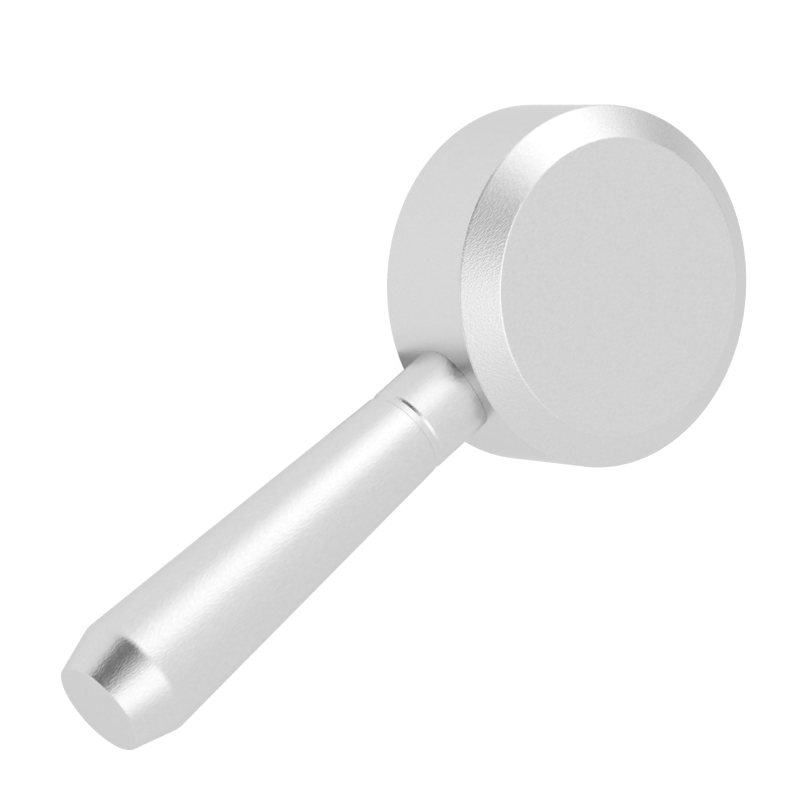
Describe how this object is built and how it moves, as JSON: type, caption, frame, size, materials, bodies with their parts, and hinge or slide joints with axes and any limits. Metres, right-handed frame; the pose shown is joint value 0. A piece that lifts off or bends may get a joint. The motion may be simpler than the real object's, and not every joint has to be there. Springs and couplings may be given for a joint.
{
  "type": "dead-blow hand mallet",
  "caption": "Satin aluminium hand mallet: bevelled drum head filled with loose steel shot, screwed-in faces, short neck and a tapered grip with a conical end cap.",
  "frame": {"origin": "centre of the rear striking face, on which the mallet lies", "axes": "+X along the handle from the drum to the end cap, +Z along the drum's axis from the rear face to the front face"},
  "size_m": [0.1798, 0.076, 0.0358],
  "materials": {
    "satin_aluminium": "fine bead-blasted, clear anodised",
    "bright_steel": "ground steel",
    "shot_steel": "smooth steel balls, lightly oiled",
    "zinc_plated_steel": "bright zinc plate",
    "urethane_pad": "cast urethane",
    "seal_rubber": "matt nitrile rubber"
  },
  "bodies": {
    "head": {"head_ring": "satin_aluminium", "chamber_sleeve": "bright_steel", "neck_collar": "satin_aluminium", "dowel_pins": "bright_steel", "joint_ring": "satin_aluminium", "grip": "satin_aluminium", "tie_rod": "zinc_plated_steel", "cross_pin": "bright_steel", "thrust_washer": "zinc_plated_steel", "spring_washer": "zinc_plated_steel", "grip_nut": "zinc_plated_steel"},
    "front_seal": {"front_seal": "seal_rubber"},
    "front_face": {"front_face": "satin_aluminium", "front_pad": "urethane_pad"},
    "rear_seal": {"rear_seal": "seal_rubber"},
    "rear_face": {"rear_face": "satin_aluminium", "rear_pad": "urethane_pad"},
    "end_seal": {"end_cap_seal": "seal_rubber"},
    "end_cap": {"end_cap": "satin_aluminium"},
    "shot": {"steel_shot": "shot_steel"}
  },
  "joints": [
    {"name": "front_face_travel", "type": "slide", "parent": "head", "child": "front_seal", "axis": [0, 0, 1], "range_m": [0, 0.004]},
    {"name": "front_face_turn", "type": "hinge", "parent": "front_seal", "child": "front_face", "pos_m": [0, 0, 0.0179], "axis": [0, 0, 1], "range_deg": [0, 1440]},
    {"name": "rear_face_travel", "type": "slide", "parent": "head", "child": "rear_seal", "axis": [0, 0, -1], "range_m": [0, 0.004]},
    {"name": "rear_face_turn", "type": "hinge", "parent": "rear_seal", "child": "rear_face", "pos_m": [0, 0, 0.0179], "axis": [0, 0, -1], "range_deg": [0, 1440]},
    {"name": "end_cap_travel", "type": "slide", "parent": "head", "child": "end_seal", "axis": [1, 0, 0], "range_m": [0, 0.0075]},
    {"name": "end_cap_turn", "type": "hinge", "parent": "end_seal", "child": "end_cap", "pos_m": [0.1318, 0, 0.0179], "axis": [1, 0, 0], "range_deg": [0, 1800]},
    {"name": "shot_travel", "type": "slide", "parent": "head", "child": "shot", "axis": [0, 0, 1], "range_m": [0, 0.0093]}
  ],
  "couplings": [
    {"joint": "front_face_travel", "follows": "front_face_turn", "m_per_rad": 0.00015915},
    {"joint": "rear_face_travel", "follows": "rear_face_turn", "m_per_rad": 0.00015915},
    {"joint": "end_cap_travel", "follows": "end_cap_turn", "m_per_rad": 0.00023873}
  ]
}
